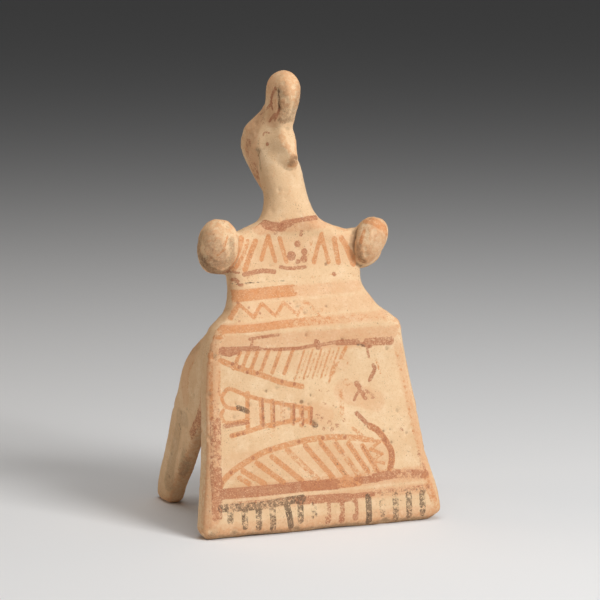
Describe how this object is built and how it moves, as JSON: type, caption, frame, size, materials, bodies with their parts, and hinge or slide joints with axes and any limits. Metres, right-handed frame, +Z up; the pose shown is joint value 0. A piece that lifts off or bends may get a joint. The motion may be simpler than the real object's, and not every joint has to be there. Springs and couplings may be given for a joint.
{
  "type": "terracotta seated woman statuette with prop fins",
  "caption": "Flat clay figure of a seated woman with a beak-like face, rolled headdress, stub arms and rear prop fins; stands by its own weight.",
  "frame": {"origin": "on the ground, under the middle of the figure's box", "axes": "+Z up, the front faces -Y, the figure's left hand is towards +X"},
  "size_m": [0.109, 0.0878, 0.19],
  "materials": {
    "terracotta": "matt fired clay, painted"
  },
  "bodies": {
    "root": {"statuette": "terracotta"}
  },
  "joints": []
}
